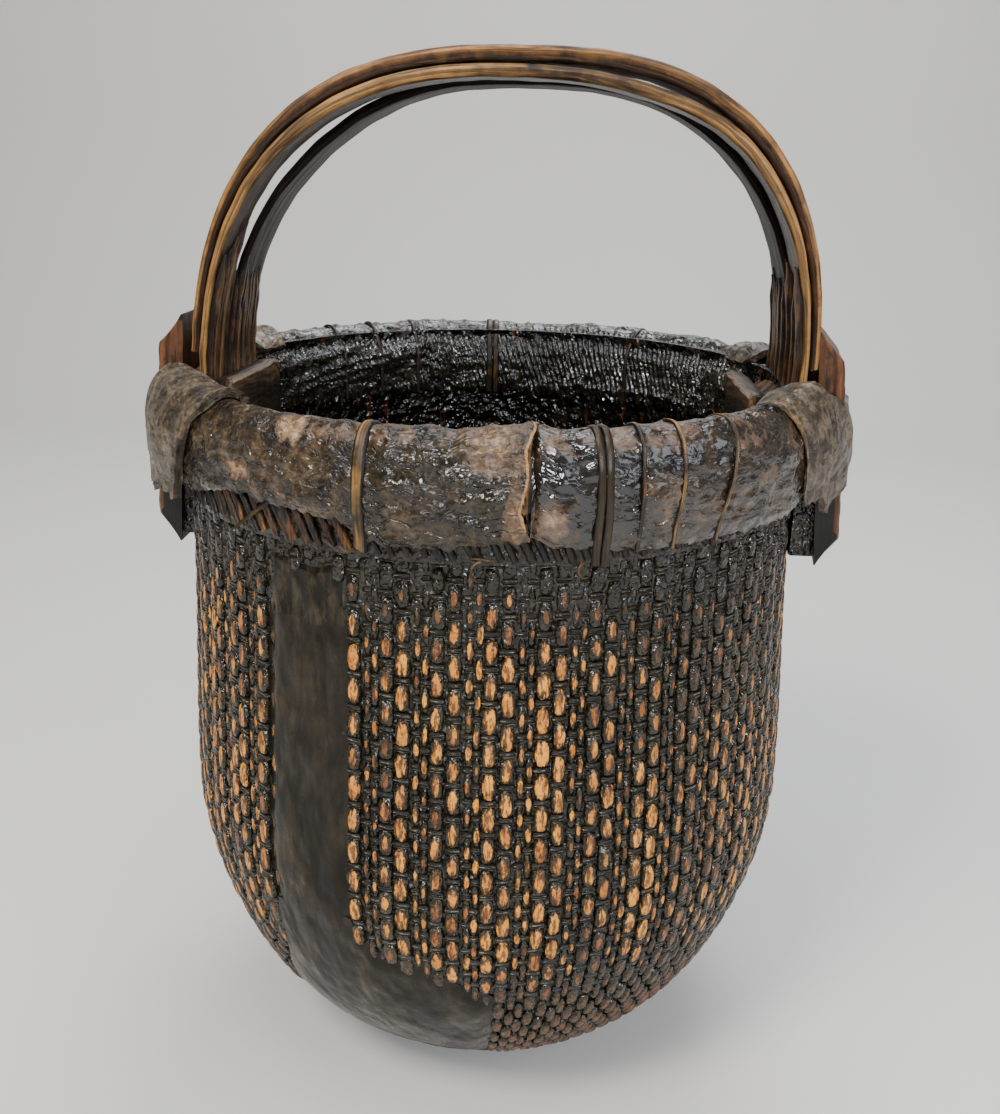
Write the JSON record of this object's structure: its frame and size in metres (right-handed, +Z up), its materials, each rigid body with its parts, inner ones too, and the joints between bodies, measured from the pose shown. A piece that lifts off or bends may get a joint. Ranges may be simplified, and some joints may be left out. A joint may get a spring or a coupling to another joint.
{
  "type": "rice basket",
  "caption": "Deep round-bottomed lacquered willow basket with a wrapped rim and a fixed arched handle clamped between cleats at two ears.",
  "frame": {"origin": "centre of the flat resting face under the base", "axes": "+Z up, X across the handle from the left ear to the right ear, -Y towards the front of the basket"},
  "size_m": [0.4101, 0.3903, 0.586],
  "materials": {
    "woven_willow": "black lacquer worn to gold on the crowns of the willow stakes",
    "black_lacquer_hide": "smooth black-brown lacquer",
    "brown_rawhide": "dark rawhide, glossy where the lacquer lasts and tan where it is worn",
    "willow_rod": "dull brown willow",
    "split_cane": "orange-brown split cane, satin",
    "handle_bow_wood": "dark worn wood with golden edges",
    "handle_rod_wood": "golden worn wood, satin",
    "handle_lath_wood": "smoke-dark fibrous wood",
    "cleat_wood": "orange-brown wood with remains of black lacquer",
    "peg_bamboo": "dull bamboo"
  },
  "bodies": {
    "root": {"base_patch": "black_lacquer_hide", "border_collar_back": "willow_rod", "border_collar_front": "willow_rod", "cane_back_double": "split_cane", "cane_back_thin_1": "split_cane", "cane_back_thin_2": "split_cane", "cane_back_thin_3": "split_cane", "cane_back_thin_4": "split_cane", "cane_front_double": "split_cane", "cane_front_thin_1": "split_cane", "cane_front_thin_2": "split_cane", "cane_front_thin_3": "split_cane", "cane_front_wide": "split_cane", "cleat_wedge_left": "black_lacquer_hide", "cleat_wedge_right": "black_lacquer_hide", "ear_hide_left": "brown_rawhide", "ear_hide_right": "brown_rawhide", "handle_front_rod": "handle_rod_wood", "handle_inner_lath": "handle_lath_wood", "handle_outer_bow": "handle_bow_wood", "inner_cleat_left": "cleat_wood", "inner_cleat_right": "cleat_wood", "leg_splint_left_1": "handle_lath_wood", "leg_splint_left_2": "handle_lath_wood", "leg_splint_right_1": "handle_lath_wood", "leg_splint_right_2": "handle_lath_wood", "outer_cleat_left": "cleat_wood", "outer_cleat_right": "cleat_wood", "peg_left_back": "peg_bamboo", "peg_left_front": "peg_bamboo", "peg_right_back": "peg_bamboo", "peg_right_front": "peg_bamboo", "rim_hide_back_left": "brown_rawhide", "rim_hide_back_right": "brown_rawhide", "rim_hide_front_left": "brown_rawhide", "rim_hide_front_right": "brown_rawhide", "rim_hoop_inner_back": "willow_rod", "rim_hoop_inner_front": "willow_rod", "rim_hoop_outer_back": "willow_rod", "rim_hoop_outer_front": "willow_rod", "side_band": "black_lacquer_hide", "woven_body": "woven_willow"}
  },
  "joints": []
}
